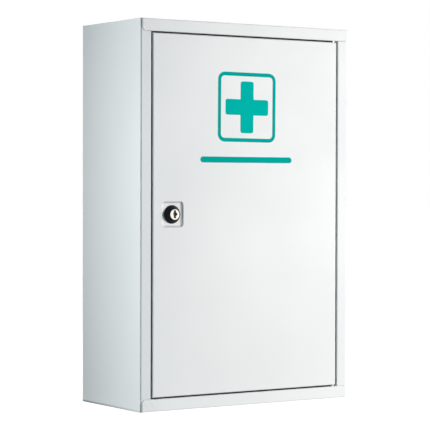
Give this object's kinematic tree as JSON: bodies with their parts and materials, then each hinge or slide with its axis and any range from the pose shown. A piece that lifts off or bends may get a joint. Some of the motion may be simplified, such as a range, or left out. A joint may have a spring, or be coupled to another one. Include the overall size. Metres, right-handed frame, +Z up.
{
  "type": "lockable wall-mounted medicine cabinet",
  "caption": "Upright folded-steel wall cabinet with shelves, an inset door on pivot pins and a quarter-turn cam lock in a square recess.",
  "frame": {"origin": "under the middle of the cabinet, on its base, halfway between the lock's front face and the rear face", "axes": "+Z up; the door faces -Y, so -Y is the front and +Y is the wall; +X is the door's hinge side, on the right as seen from the front"},
  "size_m": [0.3, 0.145, 0.46],
  "materials": {
    "white_paint": "satin white powder coat with a faint orange peel",
    "black_lock_paint": "satin black coated die casting",
    "bright_nickel": "bright nickel plate",
    "wafer_brass": "stamped brass",
    "zinc_plate": "zinc-plated steel",
    "pivot_steel": "steel pin painted over with the body",
    "nylon": "natural nylon",
    "bumper_rubber": "matt black rubber"
  },
  "bodies": {
    "cabinet": {"left_side_panel": "white_paint", "right_side_panel": "white_paint", "top_panel": "white_paint", "bottom_panel": "white_paint", "back_panel": "white_paint", "upper_shelf": "white_paint", "lower_shelf": "white_paint", "upper_left_shelf_rest": "white_paint", "upper_right_shelf_rest": "white_paint", "lower_left_shelf_rest": "white_paint", "lower_right_shelf_rest": "white_paint", "upper_door_stop": "white_paint", "lower_door_stop": "white_paint", "upper_bumper": "bumper_rubber", "lower_bumper": "bumper_rubber", "upper_pivot_pin": "pivot_steel", "lower_pivot_pin": "pivot_steel", "pivot_washer": "nylon"},
    "door": {"door_panel": "white_paint", "lock_housing": "black_lock_paint", "lock_nut": "zinc_plate", "lock_tooth_washer": "zinc_plate"},
    "lock_core": {"lock_plug": "bright_nickel", "lock_wafers": "wafer_brass", "turn_stop_washer": "zinc_plate", "lock_cam": "zinc_plate", "cam_washer": "zinc_plate", "cam_screw": "zinc_plate"}
  },
  "joints": [
    {"name": "door_hinge", "type": "hinge", "parent": "cabinet", "child": "door", "pos_m": [0.1308, -0.0641, 0.23], "axis": [0, 0, 1], "range_deg": [0, 110]},
    {"name": "lock_turn", "type": "hinge", "parent": "door", "child": "lock_core", "pos_m": [-0.1062, -0.062, 0.231], "axis": [0, 1, 0], "range_deg": [0, 90]}
  ]
}
